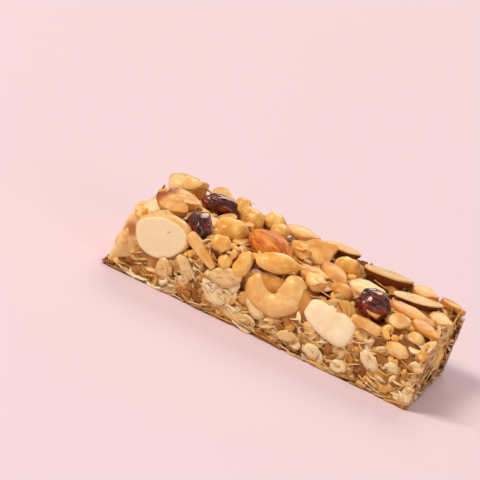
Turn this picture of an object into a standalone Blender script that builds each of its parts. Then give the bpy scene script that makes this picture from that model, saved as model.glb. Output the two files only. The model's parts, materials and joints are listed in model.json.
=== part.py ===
"""A granola bar: one pressed block of syrup-bound oats with nuts and dried fruit set into it.

Frame: metres, +X along the bar, +Y across it, +Z up. The origin is the middle of the flat base.
The block has a pocket for every nut and berry, and each of those is a solid of its own.
"""

import math
from dataclasses import dataclass

import bmesh
import bpy
from mathutils import Matrix, Vector, noise

MM = 0.001

# Driving dimensions, in millimetres.
BLOCK_LENGTH = 99.4
BLOCK_WIDTH = 43.2
BLOCK_HEIGHT = 21.0
LATTICE_CELL = 4.7
EDGE_RADIUS = 3.0
BASE_EDGE_RADIUS = 1.2
LUMP_DEPTH = 2.8
LUMP_SPAN = 8.5
POCKET_GAP = 0.3

HALF_LENGTH = BLOCK_LENGTH / 2
HALF_WIDTH = BLOCK_WIDTH / 2

COLOURS = {
    "oats": (0.62, 0.36, 0.13),
    "cranberry": (0.11, 0.012, 0.012),
    "skin_almond": (0.62, 0.23, 0.07),
    "blanched": (0.74, 0.48, 0.21),
    "pale_nut": (0.80, 0.60, 0.36),
    "amber_slice": (0.66, 0.36, 0.10),
}


@dataclass(frozen=True)
class Topping:
    """One nut or berry: its kind, its size and where it sits, in millimetres and degrees."""

    name: str
    kind: str
    size: tuple
    at: tuple
    spin: float = 0.0
    tilt: float = 0.0
    lean: float = 0.0
    finish: str = "pale_nut"


# spin turns a piece about its own thickness, tilt lowers its +X end, and lean turns it about the
# bar's length: 90 makes it face the near side (-Y), and -90 the far side (+Y).
NEAR_SIDE = 90.0
FAR_SIDE = -90.0

CRANBERRIES = (
    Topping("cranberry_ridge", "berry", (12.6, 7.4, 6.6), (-29.9, 8.4, 21.9), 28, 0, 0, "cranberry"),
    Topping("cranberry_edge", "berry", (12.2, 8.0, 7.4), (-28.0, -12.9, 20.6), -62, 0, 16, "cranberry"),
    Topping("cranberry_front", "berry", (11.0, 10.4, 10.2), (28.2, -13.4, 21.0), 20, 0, 0, "cranberry"),
    Topping("cranberry_far", "berry", (12.0, 8.0, 7.0), (9.0, 18.0, 9.5), 15, 0, FAR_SIDE, "cranberry"),
)

WHOLE_NUTS = (
    Topping("almond_whole", "almond", (19.6, 10.6, 8.2), (-5.4, -7.6, 21.8), -20, 3, 8, "skin_almond"),
    Topping("almond_blanched", "almond", (15.0, 6.8, 5.8), (-0.2, -17.4, 22.2), 20, -3, 18, "blanched"),
    Topping("almond_toasted_left", "half", (12.0, 6.8, 4.6), (-38.4, -10.5, 21.0), -16, -6, 24, "amber_slice"),
    Topping("almond_toasted_mid", "half", (10.4, 6.2, 4.6), (-38.6, -0.8, 20.9), 5, 4, 16, "amber_slice"),
    Topping("almond_toasted_front", "almond", (9.0, 6.0, 4.8), (17.8, -12.6, 20.8), 160, 0, 20, "amber_slice"),
    Topping("cashew_side", "cashew", (17.4, 10.2, 6.2), (1.9, -18.7, 13.4), 18, 0, 84, "pale_nut"),
    Topping("cashew_far", "cashew", (16.0, 12.0, 6.6), (-10.0, 18.5, 11.0), 150, 0, -86, "pale_nut"),
    Topping("macadamia_side", "half", (15.0, 12.8, 7.4), (-35.4, -17.9, 15.2), 4, 0, 86, "pale_nut"),
    Topping("macadamia_far", "half", (14.0, 12.6, 7.6), (29.0, 18.1, 12.0), 20, 0, FAR_SIDE, "pale_nut"),
    Topping("brazil_cut_side", "slab", (15.8, 9.8, 5.0), (19.6, -19.4, 13.6), -12, 0, 84, "pale_nut"),
    Topping("almond_far", "almond", (19.0, 10.4, 7.0), (-33.0, 18.2, 9.6), 10, 0, FAR_SIDE, "skin_almond"),
)

PEANUTS = (
    Topping("peanut_rear", "peanut", (10.6, 8.0, 7.0), (-20.6, -4.4, 20.6), 18, 0, 10, "blanched"),
    Topping("peanut_far_left", "peanut", (8.8, 7.0, 6.4), (-20.8, 13.6, 20.9), -8, 0, 0, "blanched"),
    Topping("peanut_far_right", "peanut", (7.2, 6.0, 6.0), (-14.4, 18.4, 21.4), 10, 0, 0, "blanched"),
    Topping("peanut_front", "peanut", (8.2, 5.0, 5.0), (-10.3, -19.0, 17.6), 84, 0, 72, "blanched"),
    Topping("peanut_edge_left", "peanut", (6.2, 5.0, 5.0), (-18.9, -18.8, 20.3), 6, 0, 30, "blanched"),
    Topping("peanut_edge_right", "peanut", (4.4, 4.4, 4.4), (-15.4, -19.6, 16.2), 40, 0, 60, "blanched"),
    Topping("peanut_middle", "peanut", (8.6, 6.6, 6.2), (13.2, 9.8, 21.0), 8, 0, 0, "blanched"),
    Topping("peanut_far_end", "peanut", (5.6, 5.4, 5.6), (-25.7, 18.9, 21.3), 30, 0, 0, "blanched"),
    Topping("peanut_centre", "peanut", (6.4, 5.4, 5.0), (-10.4, 11.2, 21.5), 80, 0, 0, "blanched"),
    Topping("hazelnut_corner", "peanut", (6.6, 6.2, 6.2), (43.6, -15.6, 17.3), 60, 0, 40, "pale_nut"),
    Topping("peanut_side_right", "peanut", (7.2, 4.4, 3.4), (40.8, -20.2, 14.8), -8, 0, NEAR_SIDE, "pale_nut"),
    Topping("peanut_left_end", "peanut", (9.0, 7.0, 8.4), (-45.8, 4.0, 9.0), 84, 0, 0, "blanched"),
    Topping("peanut_right_end", "peanut", (9.6, 8.0, 6.6), (45.9, 4.0, 10.0), 86, 0, 20, "blanched"),
)

CHUNKS = (
    Topping("nut_chunk_front", "chunk", (7.4, 6.0, 5.4), (10.6, -15.5, 20.9), -10, 0, 24, "pale_nut"),
    Topping("nut_chunk_left_far", "chunk", (12.6, 10.8, 8.2), (-43.1, 15.2, 20.6), 20, 0, 0, "pale_nut"),
    Topping("nut_chunk_left_mid", "chunk", (9.0, 9.8, 7.0), (-45.5, -7.4, 15.4), 0, 0, 0, "blanched"),
    Topping("nut_chunk_left_near", "chunk", (8.6, 5.6, 5.8), (-46.0, -17.6, 9.6), 70, 0, NEAR_SIDE, "pale_nut"),
    Topping("nut_wedge_centre", "chunk", (8.0, 5.4, 5.0), (-0.6, 3.2, 21.8), -24, 0, 10, "blanched"),
)

ALMOND_CUTS = (
    Topping("almond_half_skin_far", "half", (17.0, 8.4, 4.4), (24.8, 13.6, 21.7), 36, 0, -6, "skin_almond"),
    Topping("almond_half_skin_right", "half", (16.4, 6.8, 3.2), (36.8, 6.6, 21.2), 33, 0, 0, "skin_almond"),
    Topping("almond_half_skin_edge", "half", (11.4, 6.2, 3.4), (8.2, 18.4, 22.0), 12, 0, 0, "skin_almond"),
    Topping("almond_slice_far", "slice", (11.4, 6.8, 2.0), (-5.0, 18.0, 22.2), 8, 0, 10, "blanched"),
    Topping("almond_slice_broad", "slice", (12.0, 10.4, 2.2), (3.4, 10.2, 21.6), 50, 0, 34, "blanched"),
    Topping("almond_slice_amber", "slice", (12.8, 6.6, 2.0), (13.2, -3.4, 21.3), -34, 0, 20, "amber_slice"),
    Topping("almond_slice_middle", "slice", (9.0, 5.6, 2.0), (8.4, -8.6, 20.6), 14, 0, 24, "blanched"),
    Topping("almond_slice_pale", "slice", (11.4, 8.0, 2.0), (22.6, -0.6, 21.0), 24, 0, 14, "pale_nut"),
    Topping("almond_slice_long_a", "slice", (15.4, 6.2, 2.0), (38.6, -3.4, 20.8), -5, 3, 12, "amber_slice"),
    Topping("almond_slice_long_b", "slice", (9.8, 5.6, 2.0), (44.6, -10.4, 20.6), -14, 4, 14, "amber_slice"),
    Topping("almond_slice_corner", "slice", (6.6, 5.4, 2.0), (37.4, -15.0, 21.0), 10, 0, 40, "pale_nut"),
    Topping("almond_slice_end", "slice", (7.8, 7.4, 2.0), (45.4, 5.0, 20.2), 12, 4, 10, "blanched"),
    Topping("almond_slice_far_right", "slice", (8.6, 4.6, 2.0), (45.4, 18.2, 21.6), -6, 4, 0, "amber_slice"),
    Topping("almond_slice_far_mid", "slice", (8.4, 6.2, 2.0), (36.3, 18.0, 21.6), 4, 0, 12, "blanched"),
    Topping("almond_slice_left_far", "slice", (7.6, 6.2, 2.0), (-32.3, 17.6, 22.2), 6, 0, 34, "pale_nut"),
    Topping("almond_sliver_left", "slab", (12.4, 3.4, 2.8), (-22.9, -20.4, 16.4), -31, 0, NEAR_SIDE, "blanched"),
    Topping("almond_sliver_right", "slab", (9.6, 3.0, 2.4), (29.8, -20.7, 17.8), -6, 0, NEAR_SIDE, "pale_nut"),
)

TOPPINGS = CRANBERRIES + WHOLE_NUTS + PEANUTS + CHUNKS + ALMOND_CUTS


def clear_scene():
    """Remove whatever the file held."""
    for obj in list(bpy.data.objects):
        bpy.data.objects.remove(obj)


def material(name):
    """The Principled material of a finish, made once."""
    found = bpy.data.materials.get(name)
    if found:
        return found
    made = bpy.data.materials.new(name)
    made.use_nodes = True
    shader = made.node_tree.nodes["Principled BSDF"]
    shader.inputs["Base Color"].default_value = (*COLOURS[name], 1.0)
    shader.inputs["Roughness"].default_value = 0.25 if name == "cranberry" else 0.45
    shader.inputs["Metallic"].default_value = 0.0
    return made


def smoothstep(low, high, value):
    """0 below low, 1 above high, and a smooth step between them."""
    share = min(1.0, max(0.0, (value - low) / (high - low)))
    return share * share * (3 - 2 * share)


# Kinds of nut and berry. Each takes a point of the unit sphere, whose poles are on X, and gives
# the point of the piece inside the same unit box.


def berry(point):
    """A plump berry that dried into lengthwise folds."""
    around = math.atan2(point.z, point.y)
    fold = 0.06 * math.cos(5 * around + 1.5 * point.x) * (1 - point.x**2)
    side = 1.0 - 0.07 + fold
    return Vector((point.x, point.y * side, point.z * side))


def almond(point):
    """An almond: blunt at -X and pointed at +X, widest before the middle."""
    taper = 1.0 - 0.30 * smoothstep(-0.1, 1.0, point.x)
    return Vector((point.x, point.y * taper, point.z * taper))


def half(point):
    """A nut split in two: the flat cut face is up, and the back is a dome."""
    cut = 0.12
    height = (min(point.z, cut) + 1.0) / (1.0 + cut) * 2.0 - 1.0
    return Vector((point.x, point.y * (1.0 - 0.12 * point.x), height))


def slice_(point):
    """A thin cut: flat on both faces, round at the rim and narrower at one end."""
    height = max(-1.0, min(1.0, 2.6 * point.z))
    return Vector((point.x, point.y * (1.0 - 0.18 * point.x), height))


def slab(point):
    """A blocky cut with rounded corners."""
    return Vector(math.copysign(abs(v) ** 0.72, v) for v in point) * 0.97


def peanut(point):
    """A skinned peanut: an egg with a faint waist."""
    waist = 1.0 - 0.10 * math.exp(-((point.x / 0.28) ** 2))
    return Vector((point.x, point.y * waist, point.z * waist * (1.0 - 0.06 * point.x)))


def chunk(point):
    """A broken piece with a few blunt flats."""
    lump = noise.noise(point * 1.4 + Vector((3.1, 0.4, 7.7)))
    return point * (0.90 + 0.16 * lump)


def cashew(point):
    """A cashew: a tapering rod bent into a C that opens at +Y."""
    sweep = math.radians(112) * point.x
    arm = 0.58
    thick = 0.40 * (1.0 + 0.28 * point.x)
    reach = arm - thick * point.y
    return Vector((reach * math.sin(sweep), 0.12 - reach * math.cos(sweep), point.z))


SHAPES = {
    "berry": (berry, 11, 8),
    "almond": (almond, 9, 7),
    "half": (half, 10, 6),
    "slice": (slice_, 9, 5),
    "slab": (slab, 8, 5),
    "peanut": (peanut, 8, 5),
    "chunk": (chunk, 7, 5),
    "cashew": (cashew, 8, 11),
}


def bounds(points):
    """The lowest and the highest corner of a set of points."""
    low = Vector(min(p[i] for p in points) for i in range(3))
    high = Vector(max(p[i] for p in points) for i in range(3))
    return low, high


def turned(topping):
    """The rotation that a topping lies at."""
    lean = Matrix.Rotation(math.radians(topping.lean), 3, "X")
    tilt = Matrix.Rotation(math.radians(topping.tilt), 3, "Y")
    spin = Matrix.Rotation(math.radians(topping.spin), 3, "Z")
    return lean @ tilt @ spin


def topping_mesh(topping, grow, name):
    """The mesh of a topping in its own axes, grown by so many millimetres on every side."""
    shape, segments, rings = SHAPES[topping.kind]
    bm = bmesh.new()
    to_x = Matrix.Rotation(math.radians(90), 4, "Y")
    bmesh.ops.create_uvsphere(bm, u_segments=segments, v_segments=rings, radius=1.0, matrix=to_x)
    points = [shape(v.co.copy()) for v in bm.verts]
    low, high = bounds(points)
    for vert, point in zip(bm.verts, points):
        unit = Vector((point[i] - (low[i] + high[i]) / 2) / (high[i] - low[i]) for i in range(3))
        vert.co = Vector(unit[i] * topping.size[i] for i in range(3)) * MM
    if grow:
        bm.normal_update()
        pushed = [v.co + v.normal * grow * MM for v in bm.verts]
        for vert, place in zip(bm.verts, pushed):
            vert.co = place
    mesh = bpy.data.meshes.new(name)
    bm.to_mesh(mesh)
    bm.free()
    return mesh


def place(topping, grow=0.0, suffix=""):
    """Add a topping, or a grown copy of it, to the scene."""
    name = topping.name + suffix
    obj = bpy.data.objects.new(name, topping_mesh(topping, grow, name))
    obj.matrix_world = Matrix.Translation(Vector(topping.at) * MM) @ turned(topping).to_4x4()
    bpy.context.collection.objects.link(obj)
    return obj


def add_topping(topping):
    """A nut or berry as its own solid."""
    obj = place(topping)
    obj.data.materials.append(material(topping.finish))
    obj.data.shade_smooth()
    return obj


def rounded(point, half_sizes, radius):
    """Pull a point of a box's surface onto the same box with its edges rounded off."""
    core = Vector(max(-(h - radius), min(h - radius, c)) for c, h in zip(point, half_sizes))
    out = point - core
    return core + out.normalized() * radius if out.length > radius else point


def end_dent(y, z):
    """How far the broken left end leans in at a height z, which is most along the middle."""
    share = smoothstep(0.0, 1.0, z / BLOCK_HEIGHT)
    across = y / HALF_WIDTH
    return share * (1.2 + 0.9 * math.cos(math.pi * across / 2))


def block_mesh():
    """The pressed block of oats: a box with rounded edges and a lumpy skin on a flat base."""
    bm = bmesh.new()
    size = (BLOCK_LENGTH, BLOCK_WIDTH, BLOCK_HEIGHT)
    bmesh.ops.create_cube(bm, size=1.0, matrix=Matrix.Diagonal((*size, 1.0)))
    for axis, length in enumerate(size):
        cuts = round(length / LATTICE_CELL)
        normal = Vector(1.0 if i == axis else 0.0 for i in range(3))
        for step in range(1, cuts):
            through = normal * (step / cuts - 0.5) * length
            parts = bm.verts[:] + bm.edges[:] + bm.faces[:]
            bmesh.ops.bisect_plane(bm, geom=parts, plane_co=through, plane_no=normal)
    half_sizes = Vector(size) / 2
    on_base = {v for v in bm.verts if v.co.z < 0.01 - half_sizes.z}
    for vert in bm.verts:
        vert.co = rounded(vert.co, half_sizes, BASE_EDGE_RADIUS if vert in on_base else EDGE_RADIUS)
    bm.normal_update()
    for vert in bm.verts:
        height = vert.co.z + half_sizes.z
        lump = 0.5 + 0.9 * noise.noise(vert.co / LUMP_SPAN + Vector((1.7, 5.2, 0.6)))
        shift = vert.normal * LUMP_DEPTH * min(1.0, max(0.0, lump))
        if vert in on_base:
            shift.z = 0.0
        vert.co -= shift
        vert.co.x += end_dent(vert.co.y, max(0.0, height)) * smoothstep(-30.0, -HALF_LENGTH, vert.co.x)
    low, high = bounds([v.co for v in bm.verts])
    for vert in bm.verts:
        unit = Vector((vert.co[i] - low[i]) / (high[i] - low[i]) - 0.5 for i in range(3))
        vert.co = Vector((unit.x * BLOCK_LENGTH, unit.y * BLOCK_WIDTH, (unit.z + 0.5) * BLOCK_HEIGHT)) * MM
    mesh = bpy.data.meshes.new("oat_block")
    bm.to_mesh(mesh)
    bm.free()
    return mesh


def add_block():
    """The block, with a pocket cut for each topping."""
    block = bpy.data.objects.new("oat_block", block_mesh())
    bpy.context.collection.objects.link(block)
    block.data.materials.append(material("oats"))
    block.data.shade_smooth()
    block.data.set_sharp_from_angle(angle=math.radians(50))
    for topping in TOPPINGS:
        cutter = place(topping, POCKET_GAP, "_pocket")
        cutter.hide_render = True
        cutter.display_type = "WIRE"
        pocket = block.modifiers.new(topping.name, "BOOLEAN")
        pocket.operation = "DIFFERENCE"
        pocket.solver = "MANIFOLD"  # EXACT drops the block where two pockets run into each other
        pocket.object = cutter
    return block


def main():
    """Build the bar."""
    clear_scene()
    add_block()
    for topping in TOPPINGS:
        add_topping(topping)


main()
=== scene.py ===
"""A granola bar: rolled oats bound by set syrup, with nuts, almond slices and dried cranberries.

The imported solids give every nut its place. This script gives each of them its real shape and
finish, lays oat flakes, crisps and crumbs over a syrup core, and lights the bar on a pale floor.
"""

from __future__ import annotations

import json
import logging
import math
import random
from dataclasses import dataclass
from enum import Enum
from typing import Callable, Sequence

import bpy
import numpy as np
from mathutils import Euler, Matrix, Vector
from mathutils.bvhtree import BVHTree

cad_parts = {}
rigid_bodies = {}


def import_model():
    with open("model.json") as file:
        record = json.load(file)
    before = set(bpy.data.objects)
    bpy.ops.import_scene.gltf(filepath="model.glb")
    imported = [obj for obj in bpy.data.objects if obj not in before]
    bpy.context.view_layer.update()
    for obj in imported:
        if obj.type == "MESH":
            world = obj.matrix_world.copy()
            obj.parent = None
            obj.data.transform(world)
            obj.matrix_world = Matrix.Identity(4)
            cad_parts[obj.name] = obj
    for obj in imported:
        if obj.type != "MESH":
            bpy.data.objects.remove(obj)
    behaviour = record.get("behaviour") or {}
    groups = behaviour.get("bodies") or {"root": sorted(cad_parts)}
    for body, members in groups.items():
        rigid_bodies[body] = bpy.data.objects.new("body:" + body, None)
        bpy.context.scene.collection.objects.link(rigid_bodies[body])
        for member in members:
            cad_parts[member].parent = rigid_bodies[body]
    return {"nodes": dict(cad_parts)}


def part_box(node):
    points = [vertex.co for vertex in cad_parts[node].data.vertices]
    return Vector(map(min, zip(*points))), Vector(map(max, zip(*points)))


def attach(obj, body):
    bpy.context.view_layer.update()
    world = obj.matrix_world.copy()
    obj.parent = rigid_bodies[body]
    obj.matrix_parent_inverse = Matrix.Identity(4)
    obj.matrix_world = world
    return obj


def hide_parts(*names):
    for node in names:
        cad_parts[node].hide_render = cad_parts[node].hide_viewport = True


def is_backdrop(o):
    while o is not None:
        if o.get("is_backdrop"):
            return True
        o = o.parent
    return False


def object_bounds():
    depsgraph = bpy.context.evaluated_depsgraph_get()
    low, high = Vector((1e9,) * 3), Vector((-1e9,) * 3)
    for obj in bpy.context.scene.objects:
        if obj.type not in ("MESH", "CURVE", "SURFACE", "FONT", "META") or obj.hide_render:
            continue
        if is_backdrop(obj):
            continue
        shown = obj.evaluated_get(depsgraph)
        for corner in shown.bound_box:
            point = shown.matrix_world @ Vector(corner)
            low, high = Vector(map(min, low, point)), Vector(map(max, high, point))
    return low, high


LOG = logging.getLogger("granola_bar")
MM = 0.001
ROOT = "root"
BLOCK = "oat_block"
UP = Vector((0.0, 0.0, 1.0))


# ---------------------------------------------------------------------------------------------
# Small tools
# ---------------------------------------------------------------------------------------------


def linear(colour: str) -> tuple[float, float, float, float]:
    """Turn an sRGB hex colour into linear light.

    Args:
        colour: six hex digits after a hash sign.

    Returns:
        Red, green, blue and an alpha of 1.
    """
    shares = [int(colour[i : i + 2], 16) / 255 for i in (1, 3, 5)]
    light = [s / 12.92 if s <= 0.04045 else ((s + 0.055) / 1.055) ** 2.4 for s in shares]
    return (light[0], light[1], light[2], 1.0)


def add_node(
    tree: bpy.types.NodeTree,
    kind: str,
    settings: dict | None = None,
    links: dict | None = None,
) -> bpy.types.Node:
    """Add a shader node with its settings and its links.

    Args:
        tree: the material's node tree.
        kind: the node's type name.
        settings: input values, by the input's name or number, and the node's own properties.
        links: output sockets, by the name or number of the input that each feeds.

    Returns:
        The new node.
    """
    node = tree.nodes.new(kind)
    for key, value in (settings or {}).items():
        if isinstance(key, int) or key in node.inputs:
            node.inputs[key].default_value = value
        else:
            setattr(node, key, value)
    for key, source in (links or {}).items():
        tree.links.new(source, node.inputs[key])
    return node


def only(obj: bpy.types.Object) -> None:
    """Select one object alone and make it the active one."""
    for other in bpy.context.view_layer.objects:
        other.select_set(False)
    obj.select_set(True)
    bpy.context.view_layer.objects.active = obj


def corners(mesh: bpy.types.Mesh) -> np.ndarray:
    """The vertices of a mesh, one row each."""
    rows = np.empty(len(mesh.vertices) * 3)
    mesh.vertices.foreach_get("co", rows)
    return rows.reshape(-1, 3)


def store(obj: bpy.types.Object, name: str, kind: str, values: np.ndarray) -> None:
    """Keep one value for each vertex as an attribute that a material can read.

    Args:
        obj: the piece.
        name: the attribute's name.
        kind: FLOAT or FLOAT_VECTOR.
        values: the values, in the order of the vertices.
    """
    layer = obj.data.attributes.get(name) or obj.data.attributes.new(name, kind, "POINT")
    layer.data.foreach_set("vector" if kind == "FLOAT_VECTOR" else "value", values.ravel())


# ---------------------------------------------------------------------------------------------
# Finishes
# ---------------------------------------------------------------------------------------------


@dataclass(frozen=True)
class Finish:
    """What a surface is made of. paint() adds its nodes to the material."""

    name: str
    light: str
    dark: str
    roughness: float = 0.42
    glaze: float = 0.5
    glaze_roughness: float = 0.16
    glow: float = 0.18

    def material(self) -> bpy.types.Material:
        """The material of this finish, made once."""
        found = bpy.data.materials.get(self.name)
        if found:
            return found
        made = bpy.data.materials.new(self.name)
        made.use_nodes = True
        shader = made.node_tree.nodes["Principled BSDF"]
        shader.inputs["Roughness"].default_value = self.roughness
        shader.inputs["Coat Weight"].default_value = self.glaze
        shader.inputs["Coat Roughness"].default_value = self.glaze_roughness
        shader.inputs["Coat IOR"].default_value = 1.48
        shader.inputs["IOR"].default_value = 1.46
        shader.inputs["Specular Tint"].default_value = linear("#FFDDB0")
        shader.inputs["Subsurface Weight"].default_value = self.glow
        shader.inputs["Subsurface Radius"].default_value = (1.0, 0.5, 0.2)
        shader.inputs["Subsurface Scale"].default_value = 1.6 * MM
        self.paint(made.node_tree, shader)
        return made

    def paint(self, tree: bpy.types.NodeTree, shader: bpy.types.Node) -> None:
        """Mix the light and the dark colour in soft patches a few millimetres wide."""
        colour = self.patches(tree, 4.0, 0.35, 0.65)
        tree.links.new(colour, shader.inputs["Base Color"])
        self.bump(tree, shader, self.noise(tree, 0.7), 0.06)

    def noise(
        self,
        tree: bpy.types.NodeTree,
        patch: float,
        along: float = 1.0,
        detail: float = 3.0,
        fineness: float = 0.55,
        swirl: float = 0.0,
    ) -> bpy.types.NodeSocket:
        """Noise on the piece's grain, which is in millimetres along its own axes.

        Args:
            tree: the material's node tree.
            patch: the size of the patches, in millimetres.
            along: how closely they follow each other along the piece; less than 1 draws them out.
            detail: how many finer layers there are.
            fineness: how strong the finer layers are.
            swirl: how far the patches are drawn into swirls.

        Returns:
            The noise, from 0 to 1.
        """
        own = add_node(tree, "ShaderNodeAttribute", {"attribute_name": "grain"})
        drawn = add_node(
            tree, "ShaderNodeMapping", {"Scale": (along, 1.0, 1.0)}, {"Vector": own.outputs["Vector"]}
        )
        noise = add_node(
            tree,
            "ShaderNodeTexNoise",
            {"Scale": 1 / patch, "Detail": detail, "Roughness": fineness, "Distortion": swirl},
            {"Vector": drawn.outputs["Vector"]},
        )
        return noise.outputs["Fac"]

    def place_along(self, tree: bpy.types.NodeTree, axis: str) -> bpy.types.NodeSocket:
        """Where a point lies along one of the piece's own axes, from -1 to 1."""
        own = add_node(tree, "ShaderNodeAttribute", {"attribute_name": "unit"})
        return add_node(tree, "ShaderNodeSeparateXYZ", links={0: own.outputs["Vector"]}).outputs[axis]

    def ramp(
        self, tree: bpy.types.NodeTree, share: bpy.types.NodeSocket, stops: Sequence[tuple[float, str]]
    ) -> bpy.types.NodeSocket:
        """Colours along a share.

        Args:
            tree: the material's node tree.
            share: a value from 0 to 1.
            stops: places from 0 to 1 and the hex colour at each.

        Returns:
            The colour.
        """
        ramp = add_node(tree, "ShaderNodeValToRGB", links={"Fac": share})
        bands = ramp.color_ramp.elements
        while len(bands) < len(stops):
            bands.new(0.5)
        for band, (place, colour) in zip(bands, stops):
            band.position = place
            band.color = linear(colour)
        return ramp.outputs["Color"]

    def patches(
        self, tree: bpy.types.NodeTree, patch: float, low: float, high: float
    ) -> bpy.types.NodeSocket:
        """The dark colour below a level of the noise and the light colour above another."""
        return self.ramp(tree, self.noise(tree, patch), [(low, self.dark), (high, self.light)])

    def mix(
        self,
        tree: bpy.types.NodeTree,
        share: bpy.types.NodeSocket,
        under: bpy.types.NodeSocket,
        over: bpy.types.NodeSocket | str,
        blend: str = "MIX",
    ) -> bpy.types.NodeSocket:
        """Lay one colour over another.

        Args:
            tree: the material's node tree.
            share: how much of the upper colour shows.
            under: the lower colour.
            over: the upper colour, as a socket or as hex.
            blend: the way that they mix.

        Returns:
            The mixed colour.
        """
        mix = add_node(
            tree,
            "ShaderNodeMix",
            {"data_type": "RGBA", "blend_type": blend},
            {"Factor": share, 6: under},
        )
        if isinstance(over, str):
            mix.inputs[7].default_value = linear(over)
        else:
            tree.links.new(over, mix.inputs[7])
        return mix.outputs[2]

    def span(
        self, tree: bpy.types.NodeTree, value: bpy.types.NodeSocket, low: float, high: float, top: float = 1.0
    ) -> bpy.types.NodeSocket:
        """Stretch a value so that low becomes 0 and high becomes top, with a smooth step between."""
        step = add_node(
            tree,
            "ShaderNodeMapRange",
            {"interpolation_type": "SMOOTHSTEP", "From Min": low, "From Max": high, "To Max": top},
            {"Value": value},
        )
        return step.outputs["Result"]

    def rim(self, tree: bpy.types.NodeTree, low: float, high: float, top: float) -> bpy.types.NodeSocket:
        """How near a point of a flat piece is to its outline: 0 within low, and top beyond high."""
        own = add_node(tree, "ShaderNodeAttribute", {"attribute_name": "unit"})
        flat = add_node(
            tree,
            "ShaderNodeVectorMath",
            {"operation": "MULTIPLY", 1: (1.0, 1.0, 0.0)},
            {0: own.outputs["Vector"]},
        )
        reach = add_node(tree, "ShaderNodeVectorMath", {"operation": "LENGTH"}, {0: flat.outputs[0]})
        return self.span(tree, reach.outputs["Value"], low, high, top)

    def bump(
        self, tree: bpy.types.NodeTree, shader: bpy.types.Node, height: bpy.types.NodeSocket, depth: float
    ) -> None:
        """Raise the surface by a height from 0 to 1, worth depth millimetres."""
        bump = add_node(
            tree,
            "ShaderNodeBump",
            {"Strength": 1.0, "Distance": depth * MM},
            {"Height": height},
        )
        tree.links.new(bump.outputs["Normal"], shader.inputs["Normal"])


class NutFlesh(Finish):
    """Skinned nut: a smooth cream to golden flesh that toasting browns in patches."""


class SlicedNut(Finish):
    """A sliced nut: a pale cut face, toasted darker towards its rim."""

    def paint(self, tree: bpy.types.NodeTree, shader: bpy.types.Node) -> None:
        """Patches, and the dark colour again round the rim."""
        colour = self.patches(tree, 5.0, 0.30, 0.62)
        colour = self.mix(tree, self.rim(tree, 0.72, 1.02, 0.75), colour, self.dark)
        tree.links.new(colour, shader.inputs["Base Color"])
        self.bump(tree, shader, self.noise(tree, 0.8), 0.08)


@dataclass(frozen=True)
class CutNut(Finish):
    """A nut that was cut flat on one side: the cut face is paler than the rounded rest."""

    face: str = "#F8DFB8"

    def paint(self, tree: bpy.types.NodeTree, shader: bpy.types.Node) -> None:
        """Golden flesh all round, and the even paler face beyond the cut."""
        flesh = self.patches(tree, 5.0, 0.30, 0.65)
        front = self.span(tree, self.place_along(tree, "Z"), 0.90, 0.975)
        colour = self.mix(tree, front, flesh, self.face)
        tree.links.new(colour, shader.inputs["Base Color"])
        self.bump(tree, shader, self.noise(tree, 1.2), 0.05)


@dataclass(frozen=True)
class TippedNut(Finish):
    """Toasted almond wedge: ochre flesh with a shred of dark skin left on its blunt end."""

    skin: str = "#A04C16"

    def paint(self, tree: bpy.types.NodeTree, shader: bpy.types.Node) -> None:
        """Patches along the wedge, and skin at the end."""
        flesh = self.patches(tree, 4.0, 0.30, 0.65)
        tip = self.span(tree, self.place_along(tree, "X"), -0.30, -0.7)
        colour = self.mix(tree, tip, flesh, self.skin)
        tree.links.new(colour, shader.inputs["Base Color"])
        self.bump(tree, shader, self.noise(tree, 0.9), 0.12)


@dataclass(frozen=True)
class SkinEdgedNut(Finish):
    """Half an almond with its skin on: a cream cut face above a red-brown skin."""

    skin: str = "#722E12"

    def paint(self, tree: bpy.types.NodeTree, shader: bpy.types.Node) -> None:
        """Flesh on the cut face, and skin on the back and round the rim."""
        flesh = self.patches(tree, 5.0, 0.30, 0.65)
        back = self.span(tree, self.place_along(tree, "Z"), 0.80, 0.66)
        colour = self.mix(tree, back, flesh, self.skin)
        tree.links.new(colour, shader.inputs["Base Color"])
        self.bump(tree, shader, self.noise(tree, 0.6), 0.08)


class AlmondSkin(Finish):
    """Almond skin: papery and ridged along the nut, with painted shade in the grooves between the ridges."""

    def paint(self, tree: bpy.types.NodeTree, shader: bpy.types.Node) -> None:
        """Streaks that run along the almond, in height and in colour; the grooves are painted darker, as
        shade.
        """
        streaks = self.noise(tree, 1.1, along=0.07, detail=4.0, fineness=0.6)
        ridges = self.span(tree, streaks, 0.36, 0.62)
        # Painted shade: the low grooves take the dark colour and the ridges the light one.
        colour = self.ramp(tree, ridges, [(0.0, self.dark), (1.0, self.light)])
        patches = self.span(tree, self.noise(tree, 5.0), 0.45, 0.75, 0.5)
        colour = self.mix(tree, patches, colour, self.dark)
        tree.links.new(colour, shader.inputs["Base Color"])
        self.bump(tree, shader, ridges, 0.22)


class CranberrySkin(Finish):
    """Dried cranberry: a thin dark red skin that dried into sharp wrinkles, wet with syrup."""

    def paint(self, tree: bpy.types.NodeTree, shader: bpy.types.Node) -> None:
        """Wrinkles that run along the berry: the raised skin lighter red and the folds painted dark, as
        shade.
        """
        folds = self.noise(tree, 2.3, along=0.45, detail=2.0, fineness=0.5, swirl=0.9)
        # Painted shade: the low parts of the folds take the dark colour, the raised ones the lighter red.
        fold_shading = self.span(tree, folds, 0.35, 0.7)
        colour = self.ramp(tree, fold_shading, [(0.0, self.dark), (1.0, self.light)])
        tree.links.new(colour, shader.inputs["Base Color"])
        self.bump(tree, shader, folds, 0.8)


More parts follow.
